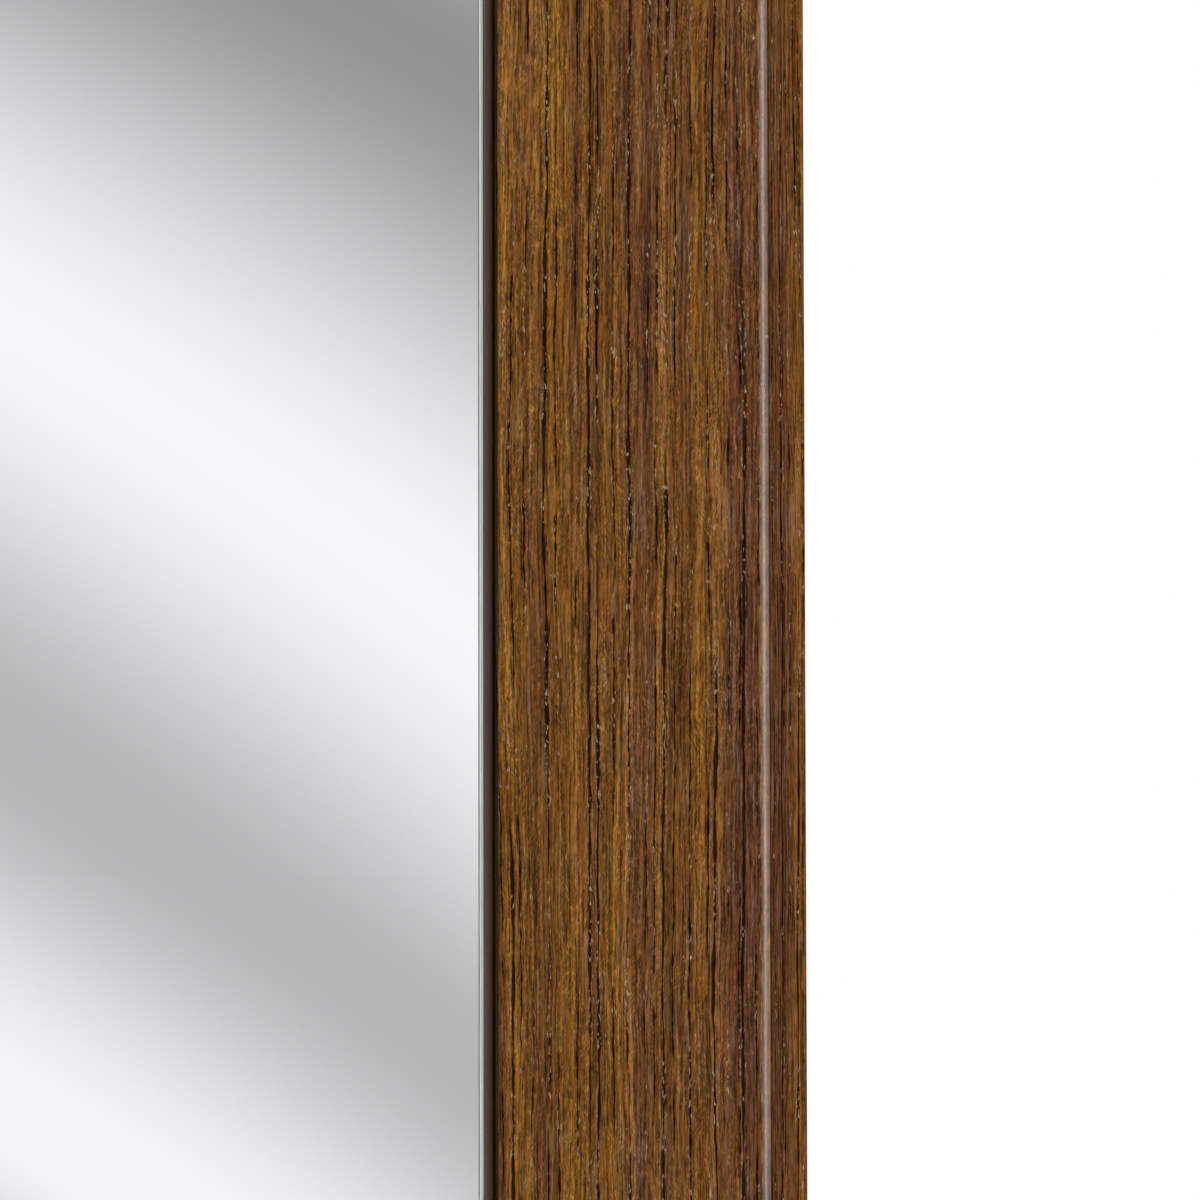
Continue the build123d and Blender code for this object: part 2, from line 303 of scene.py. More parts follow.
def buildTimberGroup():
    # ring-porous timber: position runs along the grain, across the face and into the depth, in millimetres
    outputs = ("Tone", "Hue", "Golden", "Fibre", "Strokes", "Relief", "Vessel", "Fine Vessel", "Painted Glint")
    tree, takes, gives = newGroup(
        "timberGrain",
        [
            ("Position", "NodeSocketVector", None),
            ("Wander", "NodeSocketFloat", 1.0),
            ("Vessel Width", "NodeSocketFloat", 1.0),
        ],
        [(label, "NodeSocketFloat") for label in outputs],
    )
    position = takes["Position"]
    split = tree.nodes.new("ShaderNodeSeparateXYZ")
    tree.links.new(position, split.inputs[0])
    along, across, depth = split.outputs

    # the rings stand up in the section, leaning a little, and wander along the length
    ring = times(tree, across, timber["acrossRings"])
    ring = calc(tree, "MULTIPLY_ADD", depth, timber["depthRings"], ring)
    for size, amount, detail in timber["waves"]:
        wave = minus(tree, grainNoise(tree, position, size, detail), 0.5)
        wave = times(tree, wave, takes["Wander"])
        ring = calc(tree, "MULTIPLY_ADD", wave, amount, ring)

    def over(name):
        return flatNoise(tree, along, ring, *timber[name])

    # tone and hue: bands of golden and brown wood
    bands = [(place / timber["reach"], grey(value)) for place, value in timber["bands"]]
    band = colorSteps(tree, ringTurn(tree, ring), bands, "EASE")
    tone = calc(tree, "MULTIPLY_ADD", minus(tree, band, 0.5), timber["bandTone"], over("tone"))
    feed(tree, gives["Tone"], evenly(tree, tone, 0.22, 0.78))
    feed(tree, gives["Hue"], evenly(tree, over("hue"), 0.3, 0.7))
    golden = evenly(tree, over("golden"), 0.30, 0.70, -0.45, 0.45)
    feed(tree, gives["Golden"], calc(tree, "ADD", band, golden, clamp=True))

    # fibre: hair-fine streaks of every length, and slanting specks over them; in the colour, partly grain and
    # partly painted shading and glints of the fine relief
    slanting = calc(tree, "MULTIPLY_ADD", ring, 1.5, along)
    speck = flatNoise(tree, slanting, ring, *timber["speck"])
    fibre = calc(tree, "ADD", times(tree, over("fibre"), 0.55), times(tree, speck, 0.45))
    fibre = evenly(tree, fibre, 0.38, 0.62)
    feed(tree, gives["Fibre"], fibre)

    # short strokes that lean one way or the other, rough in places, and calmer on the planed sides; in the
    # colour they are partly painted shading and glints of the fine relief
    leanings = [
        flatNoise(tree, along, calc(tree, "MULTIPLY_ADD", along, lean, ring), *timber["strokes"], seed)
        for lean, seed in timber["strokeLeans"]
    ]
    chosen = blendNumber(tree, spread(tree, over("leaning"), 0.47, 0.53), *leanings)
    strokes = evenly(tree, chosen, 0.3, 0.7, 0.0, 0.5)
    strokes = calc(tree, "ADD", strokes, spread(tree, chosen, 0.50, 0.70, 0.0, 0.7))
    rough = spread(tree, over("rough"), 0.40, 0.60, 0.30, 1.20)
    rough = times(tree, rough, spread(tree, depth, 0.3, 1.0, 1.0, 0.4))
    middle = timber["strokeMiddle"]
    strokes = calc(tree, "MULTIPLY_ADD", minus(tree, strokes, middle), rough, middle)
    feed(tree, gives["Strokes"], strokes)

    # vessels: dark broken lines, few and wide or many and fine
    rows = [vesselRow(tree, along, ring, row, takes["Vessel Width"]) for row in vesselRows]
    main, mainAway, mainRow = rows[0]
    second, secondAway, secondRow = rows[1]
    fine = rows[2][0]
    vessel = calc(tree, "MAXIMUM", main, second)
    feed(tree, gives["Vessel"], vessel)
    feed(tree, gives["Fine Vessel"], fine)
    relief = calc(tree, "MULTIPLY_ADD", vessel, -5.0, calc(tree, "MULTIPLY_ADD", strokes, 0.7, fibre))
    feed(tree, gives["Relief"], calc(tree, "MULTIPLY_ADD", fine, -1.5, relief))

    # painted glints: pale specks in chains beside the vessels
    mainRow, secondRow = times(tree, mainRow, 5.7), times(tree, secondRow, 3.9)
    near = glintChain(tree, along, mainAway, mainRow, "mainChain", (0.12, 0.55), (0.47, 0.58))
    beside = glintChain(tree, along, secondAway, secondRow, "secondChain", (0.08, 0.30), (0.52, 0.62))
    near = calc(tree, "MAXIMUM", near, beside)
    limit = calc(tree, "MULTIPLY_ADD", near, timber["glintsNearVessel"], timber["glintLimit"])
    feed(tree, gives["Painted Glint"], spread(tree, minus(tree, over("glintSpots"), limit), 0.0, 0.07))
    return tree


def buildWearGroup():
    # scuffs and soft blotches for metal, plastic and rubber
    group, takes, gives = newGroup(
        "handlingWear",
        [("Position", "NodeSocketVector", None), ("Amount", "NodeSocketFloat", 0.5)],
        [("Blotch", "NodeSocketFloat"), ("Scuff", "NodeSocketFloat")],
    )
    blotch = grainNoise(group, takes["Position"], (6, 6, 6), 4.0, 0.6)
    feed(group, gives["Blotch"], spread(group, blotch, 0.3, 0.7))
    scuff = grainNoise(group, takes["Position"], (0.4, 0.4, 3.5), 3.0, 0.7)
    limit = calc(group, "MULTIPLY_ADD", takes["Amount"], -0.2, 0.72)
    feed(group, gives["Scuff"], spread(group, minus(group, scuff, limit), 0.0, 0.12))
    return group


studioLight = {
    "bandLean": 1.37,                       # how steeply the bands slant
    "bandTwist": -0.0414,                   # and how much less so for each degree upwards
    "twistLimits": (-8.0, 14.0),            # degrees upwards between which they twist
    "bandStart": -39.35,                    # in degrees
    "bandRepeat": 39.5,
    "bands": [(0.0, 0.93), (0.238, 0.468), (0.4706, 0.945), (0.7557, 0.295), (0.965, 0.93)],
    "bandsFrom": (-24.0, -6.0),             # degrees upwards over which they fade in
    "ahead": (0.30, 0.70),                  # how straight ahead they lie
    "sideways": (-0.6, 0.3),
    "centre": (-0.22, 0.0, -0.40),          # takes a place on the floor to its direction from the pane
    "beside": 0.80,
    "behind": 0.55,
    "fromLeft": 0.42,                       # what matt surfaces get from the two sides
    "fromRight": 0.33,
}


def buildStudioGroup():
    # what shiny surfaces see: soft slanting bands of light in front, pale at the sides, dimmer behind
    tree, takes, gives = newGroup(
        "softStudio", [("Direction", "NodeSocketVector", None)], [("Light", "NodeSocketFloat")]
    )
    unit = tree.nodes.new("ShaderNodeVectorMath")
    unit.operation = "NORMALIZE"
    tree.links.new(takes["Direction"], unit.inputs[0])
    split = tree.nodes.new("ShaderNodeSeparateXYZ")
    tree.links.new(unit.outputs[0], split.inputs[0])
    right, back, up = split.outputs
    forward = times(tree, back, -1.0)
    azimuth = times(tree, calc(tree, "ARCTAN2", right, forward), math.degrees(1))
    rise = times(tree, calc(tree, "ARCSINE", up), math.degrees(1))
    lowest, highest = studioLight["twistLimits"]
    level = calc(tree, "MINIMUM", calc(tree, "MAXIMUM", rise, lowest), highest)
    lean = calc(tree, "MULTIPLY_ADD", level, studioLight["bandTwist"], studioLight["bandLean"])
    sweep = minus(tree, calc(tree, "MULTIPLY_ADD", azimuth, lean, rise), studioLight["bandStart"])
    turns = calc(tree, "DIVIDE", sweep, studioLight["bandRepeat"])
    steps = [(place, grey(value)) for place, value in studioLight["bands"]]
    bands = colorSteps(tree, calc(tree, "FRACT", turns), steps, "EASE")
    sides = spread(tree, forward, *studioLight["sideways"], studioLight["behind"], studioLight["beside"])
    ahead = spread(tree, forward, *studioLight["ahead"])
    ahead = times(tree, ahead, spread(tree, rise, *studioLight["bandsFrom"]))
    feed(tree, gives["Light"], blendNumber(tree, ahead, sides, bands))
    return tree


timberGrain = buildTimberGroup()
handlingWear = buildWearGroup()
softStudio = buildStudioGroup()
print("node groups ready")


# the frame

oak = {
    "dark": seen(63, 37, 18),
    "brown": seen(93, 59, 27),
    "middle": seen(115, 76, 32),
    "golden": seen(142, 96, 36),
    "pale": seen(166, 118, 54),
    "red": seen(130, 68, 28),
    "grey": seen(132, 101, 74),
    "vessel": seen(30, 15, 8),
    "fineVessel": seen(52, 30, 17),
    "paintedGlint": seen(190, 168, 144),
    "wornEdgeAndHighlight": seen(166, 134, 110),
    "wornRim": seen(140, 100, 66),
    "bareRim": seen(196, 140, 84),
    "paintedShadeEdge": seen(30, 14, 4),
    "brownTint": (0.96, 0.92, 1.34, 1.0),
    "goldenTint": (1.08, 1.05, 0.66, 1.0),
    "hueShare": 0.5,              # how much red or grey there is at most
    "fineVesselShare": 0.7,
    "vesselShare": 0.93,
    "paintedGlintShare": 0.8,
    "fibreLight": (0.40, 1.58),   # how dark and how light the fibres get: grain, and partly painted relief shading
    # how dark and how light the strokes get: partly painted relief shading and glints
    "strokeLight": (0.76, 1.62),
    "roughness": (0.75, 0.42),    # in the vessels and between them
    "gloss": 0.14,
    "coatRoughness": 0.29,
    "coatIor": 1.7,
    "relief": 0.07 * mm,
}


def oakMaterial():
    material, tree, surface = newMaterial("stainedOak", specular=0.0)
    surface.inputs["Coat IOR"].default_value = oak["coatIor"]
    surface.inputs["Coat Roughness"].default_value = oak["coatRoughness"]
    grain = attribute(tree, "grain")["Vector"]
    edge = attribute(tree, "edge")
    split = tree.nodes.new("ShaderNodeSeparateXYZ")
    tree.links.new(edge["Vector"], split.inputs[0])
    worn, paintedShade, rim = split.outputs
    wood = useGroup(tree, timberGrain, Position=grain)

    names = ("dark", "brown", "middle", "golden", "pale")
    steps = [(index / 4, oak[name]) for index, name in enumerate(names)]
    color = colorSteps(tree, wood["Tone"], steps, "LINEAR")
    color = blendColor(tree, spread(tree, wood["Hue"], 0.5, 1.0, 0.0, oak["hueShare"]), color, oak["red"])
    color = blendColor(tree, spread(tree, wood["Hue"], 0.42, 0.0, 0.0, oak["hueShare"]), color, oak["grey"])
    tint = blendColor(tree, wood["Golden"], oak["brownTint"], oak["goldenTint"])
    color = blendColor(tree, 1.0, color, tint, "MULTIPLY")
    # the fibres and strokes scale the colour: grain, and partly painted shading of the fine relief
    streak = tree.nodes.new("ShaderNodeVectorMath")
    streak.operation = "SCALE"
    feed(tree, streak.inputs[0], color)
    fibre = evenly(tree, wood["Fibre"], 0.0, 1.0, *oak["fibreLight"])
    strokes = evenly(tree, wood["Strokes"], 0.0, 1.2, *oak["strokeLight"])
    feed(tree, streak.inputs["Scale"], times(tree, fibre, strokes))
    color = streak.outputs[0]
    # the vessels darken the colour, and the painted glints lighten it
    for mask, name in (("Fine Vessel", "fineVessel"), ("Vessel", "vessel"), ("Painted Glint", "paintedGlint")):
        color = blendColor(tree, times(tree, wood[mask], oak[name + "Share"]), color, oak[name])

    # the stain is rubbed thin along the outer arris, with a pale painted highlight mixed in there; painted
    # shade darkens the inner arris, the rebate and the ledge
    ragged = grainNoise(tree, grain, (4.0, 0.5, 0.5), 4.0, 0.75, (3.0, 11.0, 5.0))
    rub = calc(tree, "MULTIPLY_ADD", minus(tree, ragged, 0.5), 1.3, worn)
    color = blendColor(tree, times(tree, spread(tree, rub, 0.15, 0.6), 0.22), color, oak["wornRim"])
    # pale pinkish-grey along the middle of the outer arris: partly wear, partly a painted highlight
    color = blendColor(tree, times(tree, spread(tree, rub, 0.7, 1.1), 0.12), color, oak["wornEdgeAndHighlight"])
    patch = calc(tree, "ADD", ragged, times(tree, rim, 0.42))
    bare = times(tree, spread(tree, patch, 0.84, 1.08), times(tree, rim, 0.8))
    color = blendColor(tree, bare, color, oak["bareRim"])
    # painted shade: near-black along the inner arris, in the rebate's corner, on the ledge's arris and in a
    # thin line beside the outer arris
    color = blendColor(tree, spread(tree, paintedShade, 0.0, 0.6, 0.0, 0.9), color, oak["paintedShadeEdge"])
    tree.links.new(color, surface.inputs["Base Color"])

    # satin where the wood is high, matt in its vessels, and dull where it is seen edge on
    feed(tree, surface.inputs["Roughness"], evenly(tree, wood["Relief"], -4.0, 1.0, *oak["roughness"]))
    gloss = evenly(tree, wood["Relief"], -4.0, 1.0, 0.0, oak["gloss"])
    grazing = tree.nodes.new("ShaderNodeLayerWeight")
    grazing.inputs["Blend"].default_value = 0.5
    gloss = times(tree, gloss, spread(tree, grazing.outputs["Facing"], 0.35, 0.70, 1.0, 0.1))
    feed(tree, surface.inputs["Coat Weight"], calc(tree, "MAXIMUM", gloss, spread(tree, rub, 0.3, 0.8)))
    bumpFrom(tree, surface, wood["Relief"], oak["relief"])
    return material


section = {
    "face": 40 * mm,             # width that shows from the front
    "ledge": 12 * mm,            # step behind the panel
    "depth": 22 * mm,
    "ledgeFront": 15 * mm,
    "outerArris": (0.5 * mm, 3.0 * mm),   # tight radius at the two sides of the arris, broad between them
    "innerArris": (0.7 * mm, 0.7 * mm),
    "rebateCorner": (0.3 * mm, 0.3 * mm),
    "ledgeArris": (0.5 * mm, 0.5 * mm),
    "backArris": (1.0 * mm, 1.0 * mm),
    "unevenness": 0.20,          # how much the outer arris swells and thins along its length
    "swells": (55, 9),           # mm from one broad swell or fine one to the next
    "step": 2.0 * mm,
    "mitreRelief": 0.12 * mm,    # the hairline that each mitre shows
}


def arcPieces(radii):
    # angles from one face's normal to the next one's, each with its own radius
    tight, broad = radii
    if tight == broad:
        return [(0, 90, tight, 8)]
    return [(0, 36, tight, 4), (36, 54, broad, 5), (54, 90, tight, 4)]


def cornerPoints(corner, normalIn, normalOut, radii, swell=1.0, hollow=False):
    pieces = [(a, b, r * swell, n) for a, b, r, n in arcPieces(radii)]
    leg = sum(r * (math.cos(math.radians(a)) - math.cos(math.radians(b))) for a, b, r, n in pieces)
    sign = -1 if hollow else 1
    tangentIn = -normalOut * sign     # walking direction before the corner is against the next normal
    spot = corner + tangentIn * leg
    points = [(spot.copy(), normalIn.copy())]
    for a, b, radius, count in pieces:
        for index in range(count):
            first = math.radians(a + (b - a) * index / count)
            last = math.radians(a + (b - a) * (index + 1) / count)
            move = normalOut * (math.sin(last) - math.sin(first))
            move += normalIn * (math.cos(last) - math.cos(first))
            spot = spot + move * (radius * sign)
            points.append((spot.copy(), normalIn * math.cos(last) + normalOut * math.sin(last)))
    return points


def sectionLoop(swell):
    # across the member (x) and into its depth (y), from the outer arris on; points have a normal, and wear
    # and painted shade
    face, ledge = section["face"], section["face"] + section["ledge"]
    front, back, shelf = 0.0, section["depth"], section["ledgeFront"]
    left, right, ahead, behind = Vector((-1, 0)), Vector((1, 0)), Vector((0, -1)), Vector((0, 1))
    # the last three say how worn each corner is, how much painted shade darkens it, and how dark the painted
    # shade line before it is
    corners = [
        (Vector((0, front)), left, ahead, section["outerArris"], swell, False, (1.0, 0.0, 0.5)),
        (Vector((face, front)), ahead, right, section["innerArris"], 1.0, False, (0.0, 1.0, 0.0)),
        (Vector((face, shelf)), right, ahead, section["rebateCorner"], 1.0, True, (0.0, 1.0, 0.0)),
        (Vector((ledge, shelf)), ahead, right, section["ledgeArris"], 1.0, False, (0.0, 0.4, 0.0)),
        (Vector((ledge, back)), right, behind, section["ledgeArris"], 1.0, False, (0.3, 0.0, 0.0)),
        (Vector((0, back)), behind, left, section["backArris"], 1.0, False, (0.6, 0.0, 0.0)),
    ]
    loop = []
    for corner, normalIn, normalOut, radii, grow, hollow, (worn, paintedShade, line) in corners:
        points = cornerPoints(corner, normalIn, normalOut, radii, grow, hollow)
        sign = -1 if hollow else 1
        before, after = -normalOut * sign, -normalIn * sign
        start, end = points[0], points[-1]
        for reach, share, dark in ((1.3 * mm, 0.0, 0.0), (0.3 * mm, 0.1, 0.7 * line)):
            loop.append((start[0] + before * reach, normalIn, (worn * share, paintedShade * share + dark, 0.0)))
        for spot, normal in points:
            share = 0.3 + 0.7 * min(1.0, 2.2 * normal.dot(normalIn) * normal.dot(normalOut))
            # dark is a painted shade line where the outer arris turns into the side face
            dark = line * max(0.0, normal.dot(normalIn)) ** 8
            bare = 2 * line * max(0.0, normal.dot(normalOut)) ** 3
            loop.append((spot, normal, (worn * share, paintedShade * share + dark, bare)))
        for reach, share, bare in ((0.3 * mm, 0.1, 1.6 * line), (1.3 * mm, 0.0, 0.0)):
            loop.append((end[0] + after * reach, normalOut, (worn * share, paintedShade * share, bare)))
    return loop


holes = {
    # radius and height from the back face, from the bottom of a screw's hole out past its countersink
    "screwOutline": ((2.0 * mm, -5.0 * mm), (2.0 * mm, -1.55 * mm), (3.75 * mm, 0.2 * mm)),
    "sides": 48,
    "headReach": 8.4 * mm,        # rim points nearer together than this belong to one screw
    "past": 0.2 * mm,             # how far the nails' slots are cut past the back face
    "near": 0.05 * mm,
    "same": 0.001 * mm,
}


def screwCentres(backY):
    # where the panel screws' heads are, from the rims that they show in the back face
    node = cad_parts["panel_screws"]
    heads = []
    for vertex in node.data.vertices:
        spot = node.matrix_world @ vertex.co
        if spot.y < backY - holes["near"] / 5:
            continue
        head = next((rim for rim in heads if (rim[0] - spot).length < holes["headReach"]), None)
        if head:
            head.append(spot)
        else:
            heads.append([spot])
    middles = []
    for rim in heads:
        xs, zs = [spot.x for spot in rim], [spot.z for spot in rim]
        middles.append(((min(xs) + max(xs)) / 2, (min(zs) + max(zs)) / 2))
    return middles


def turnedHole(build, x, y, z):
    sides = holes["sides"]
    turns = [2 * math.pi * k / sides for k in range(sides)]
    rings = [
        [build.verts.new((x + r * math.cos(turn), y + height, z + r * math.sin(turn))) for turn in turns]
        for r, height in holes["screwOutline"]
    ]
    for lower, upper in zip(rings, rings[1:]):
        for k in range(sides):
            build.faces.new((lower[k], upper[k], upper[(k + 1) % sides], lower[(k + 1) % sides]))
    build.faces.new(rings[0])
    build.faces.new(reversed(rings[-1]))


def holeCutter(backY):
    # countersinks for the panel screws, and the slots that the nails leave above them
    build = bmesh.new()
    for x, z in screwCentres(backY):
        turnedHole(build, x, backY, z)
    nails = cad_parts["v_nails"]
    before = len(build.verts)
    build.from_mesh(nails.data)
    build.verts.ensure_lookup_table()
    nailPoints = build.verts[before:]
    bmesh.ops.transform(build, matrix=nails.matrix_world, verts=nailPoints)
    bmesh.ops.remove_doubles(build, verts=nailPoints, dist=holes["same"])
    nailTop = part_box("v_nails")[1][1]
    for vertex in build.verts:
        if abs(vertex.co.y - nailTop) < holes["near"]:
            vertex.co.y = backY + holes["past"]
    bmesh.ops.recalc_face_normals(build, faces=build.faces)
    mesh = bpy.data.meshes.new("holeCutter")
    build.to_mesh(mesh)
    build.free()
    for face in mesh.polygons:
        face.material_index = 1
    for repeat in range(2):
        mesh.materials.append(stainedOak)
    cutter = bpy.data.objects.new("holeCutter", mesh)
    bpy.context.collection.objects.link(cutter)
    return cutter


def withHoles(mesh):
    # the same mesh with the holes cut into it; their walls have material 1
    blank = bpy.data.objects.new("blank", mesh)
    bpy.context.collection.objects.link(blank)
    change = blank.modifiers.new("holes", "BOOLEAN")
    change.operation = "DIFFERENCE"
    change.solver = "EXACT"
    change.object = cutter
    graph = bpy.context.evaluated_depsgraph_get()
    cut = bpy.data.meshes.new_from_object(blank.evaluated_get(graph))
    bpy.data.objects.remove(blank)
    return cut


def memberPiece(name, node, length, origin, along, inward, order):
    depthWay = Vector((0, 1, 0))
    count = round(length / section["step"])
    shares = [0.0, section["mitreRelief"] / length] + [i / count for i in range(1, count)]
    shares += [1 - section["mitreRelief"] / length, 1.0]
    vertices, normals, edges = [], [], []
    for number, share in enumerate(shares):
        isEnd = number in (0, len(shares) - 1)
        here = share * length / mm
        broad, fine = section["swells"]
        swell = noise.noise(Vector((here / broad, order * 9.0, 0)))
        swell = 1 + section["unevenness"] * (swell + 0.5 * noise.noise(Vector((here / fine, order * 9.0, 4))))
        for spot, normal, wear in sectionLoop(swell):
            across, deep = spot
            if isEnd:
                across -= normal.x * section["mitreRelief"]
                deep -= normal.y * section["mitreRelief"]
            reach = across + share * (length - 2 * across)
            vertices.append(origin + along * reach + inward * across + depthWay * deep)
            facing = inward * normal.x + depthWay * normal.y
            if isEnd:
                facing = (facing + along * (-1 if number == 0 else 1)).normalized()
            normals.append(facing)
            edges.append(wear)
    ring = len(vertices) // len(shares)
    faces = [
        (k * ring + i, k * ring + (i + 1) % ring, (k + 1) * ring + (i + 1) % ring, (k + 1) * ring + i)
        for k in range(len(shares) - 1)
        for i in range(ring)
    ]
    faces.append(tuple(reversed(range(ring))))
    faces.append(tuple(range(len(vertices) - ring, len(vertices))))
    if along.cross(inward).dot(depthWay) < 0:
        faces = [tuple(reversed(face)) for face in faces]
    mesh = bpy.data.meshes.new(name)
    mesh.from_pydata(vertices, [], faces)
    for repeat in range(2):
        mesh.materials.append(stainedOak)
    known = {}
    for vertex, facing, wear in zip(mesh.vertices, normals, edges):
        known[vertex.co.to_tuple(6)] = (facing, wear)
    mesh = withHoles(mesh)
    mesh.name = name
    mesh.shade_smooth()

    # what was there before keeps its normals, its wear and its painted shade, and the holes' walls are plain
    grains, edges, owners = [], [], []
    for vertex in mesh.vertices:
        reach = vertex.co - origin
        grains += [reach.dot(along) / mm + order * 1500, reach.dot(inward) / mm, reach.y / mm]
        facing, wear = known.get(vertex.co.to_tuple(6), (None, (0.0, 0.0, 0.0)))
        owners.append(facing)
        edges += wear
    normals = []
    for face in mesh.polygons:
        for index in face.vertices:
            isPlain = face.material_index == 1 or owners[index] is None
            normals.append(face.normal.copy() if isPlain else owners[index])
        face.material_index = 0
    for label, values in (("grain", grains), ("edge", edges)):
        layer = mesh.attributes.new(label, "FLOAT_VECTOR", "POINT")
        layer.data.foreach_set("vector", values)
    mesh.normals_split_custom_set(normals)
    piece = bpy.data.objects.new(name, mesh)
    bpy.context.collection.objects.link(piece)
    piece.data.materials.pop(index=1)
    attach(piece, "frame")
    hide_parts(node)
    print(name, "ready, with", owners.count(None), "points round its holes")


stainedOak = oakMaterial()
frameLow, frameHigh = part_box("frame_stile_right")
halfWide, tall, frontY = frameHigh[0], frameHigh[2], frameLow[1]
wide = 2 * halfWide
upWay, rightWay = Vector((0, 0, 1)), Vector((1, 0, 0))
cutter = holeCutter(frameHigh[1])
memberPiece("rightStile", "frame_stile_right", tall, Vector((halfWide, frontY, 0)), upWay, -rightWay, 0)
memberPiece("leftStile", "frame_stile_left", tall, Vector((-halfWide, frontY, 0)), upWay, rightWay, 1)
memberPiece("bottomRail", "frame_rail_bottom", wide, Vector((-halfWide, frontY, 0)), rightWay, upWay, 2)
memberPiece("topRail", "frame_rail_top", wide, Vector((-halfWide, frontY, tall)), rightWay, -upWay, 3)
bpy.data.objects.remove(cutter)
print("frame members ready")


# the pane

pane = {
    "arris": 0.4 * mm,
    "softening": 0.07 * mm,       # the polished corners of the arris itself
    "silverLine": 0.22 * mm,      # where the reflection stops short of the arris
    "tint": (0.980, 0.978, 1.0, 1.0),
    "haze": (0.004, 0.012),       # roughness where the glass is cleanest and least clean
}


def mirrorFaceMaterial():
    material, tree, surface = newMaterial("mirrorFace", metallic=1.0)
    position = objectPosition(tree)
    surface.inputs["Base Color"].default_value = pane["tint"]
    haze = grainNoise(tree, position, (60, 60, 60), 3.0, 0.6)
    feed(tree, surface.inputs["Roughness"], spread(tree, haze, 0.3, 0.7, *pane["haze"]))
    return material


def glassEdgeMaterial(name, color, rough):
    material, tree, surface = newMaterial(name, ior=1.52)
    position = objectPosition(tree)
    streak = grainNoise(tree, position, (0.25, 0.25, 9.0), 3.0, 0.6)
    tint = blendColor(tree, spread(tree, streak, 0.3, 0.7, 0.0, 0.25), color, (0.0, 0.0, 0.0, 1.0))
    tree.links.new(tint, surface.inputs["Base Color"])
    feed(tree, surface.inputs["Roughness"], spread(tree, streak, 0.3, 0.7, rough, rough + 0.06))
    return material


def panePiece():
    low, high = (Vector(corner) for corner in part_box("mirror_pane"))
    arris, soft = pane["arris"], pane["softening"]
    thick = high.y - low.y
    # distance in from the pane's outline, depth from its front, and the material of the band that follows
    outline = [
        (arris + pane["silverLine"], 0.0, 1),
        (arris, 0.0, 2),
        (arris - soft, soft * 0.35, 2),
        (soft * 0.35, arris - soft, 2),
        (0.0, arris, 3),
        (0.0, thick - arris, 3),
        (arris, thick, 4),
    ]
    vertices, faces, slots = [], [], []
    for inset, deep, slot in outline:
        y = low.y + deep
        left, right, bottom, top = low.x + inset, high.x - inset, low.z + inset, high.z - inset
        vertices += [(left, y, bottom), (right, y, bottom), (right, y, top), (left, y, top)]
    for band in range(len(outline) - 1):
        for side in range(4):
            after = (side + 1) % 4
            faces.append((band * 4 + after, band * 4 + side, band * 4 + 4 + side, band * 4 + 4 + after))
            slots.append(outline[band][2])
    last = len(vertices)
    faces += [(0, 1, 2, 3), (last - 1, last - 2, last - 3, last - 4)]
    slots += [0, 4]
    mesh = bpy.data.meshes.new("mirrorPane")
    mesh.from_pydata(vertices, [], faces)
    mesh.shade_flat()
    for material in (
        mirrorFaceMaterial(),
        glassEdgeMaterial("silverEnd", seen(150, 150, 150), 0.15),
        # near-white colour on the pane's arris: a painted highlight, besides its real reflection
        glassEdgeMaterial("paneArris", seen(248, 248, 250), 0.12),
        # warm beige colour on the pane's side: a painted reflection of the brown wood across the gap
        glassEdgeMaterial("polishedEdge", seen(222, 200, 184), 0.10),
        glassEdgeMaterial("paneBack", seen(120, 122, 124), 0.45),
    ):
        mesh.materials.append(material)
    for face, slot in zip(mesh.polygons, slots):
        face.material_index = slot
    piece = bpy.data.objects.new("mirrorPane", mesh)
    bpy.context.collection.objects.link(piece)
    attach(piece, "frame")
    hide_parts("mirror_pane")


panePiece()
print("pane ready")


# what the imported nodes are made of

def beechMaterial():
    material, tree, surface = newMaterial("beechBiscuit", specular=0.2)
    wood = useGroup(tree, timberGrain, Position=objectPosition(tree), Wander=0.5, Vessel_Width=0.5)
    color = blendColor(tree, wood["Tone"], seen(196, 158, 116), seen(222, 190, 148))
    color = blendColor(tree, times(tree, wood["Fine Vessel"], 0.5), color, seen(160, 118, 80))
    tree.links.new(color, surface.inputs["Base Color"])
    surface.inputs["Roughness"].default_value = 0.7
    bumpFrom(tree, surface, wood["Fibre"], 0.03 * mm)
    return material


def steelMaterial(name, color, worn, rough, amount):
    material, tree, surface = newMaterial(name, metallic=1.0)
    position = objectPosition(tree)
    wear = useGroup(tree, handlingWear, Position=position, Amount=amount)
    tint = blendColor(tree, times(tree, wear["Blotch"], 0.35), color, worn)
    tint = blendColor(tree, times(tree, wear["Scuff"], 0.5), tint, worn)
    tree.links.new(tint, surface.inputs["Base Color"])
    feed(tree, surface.inputs["Roughness"], spread(tree, wear["Blotch"], 0.0, 1.0, rough, rough + 0.14))
    brushed = grainNoise(tree, position, (0.12, 0.12, 4.0), 2.0, 0.6)
    bumpFrom(tree, surface, calc(tree, "MULTIPLY_ADD", wear["Scuff"], -0.4, brushed), 0.012 * mm)
    return material


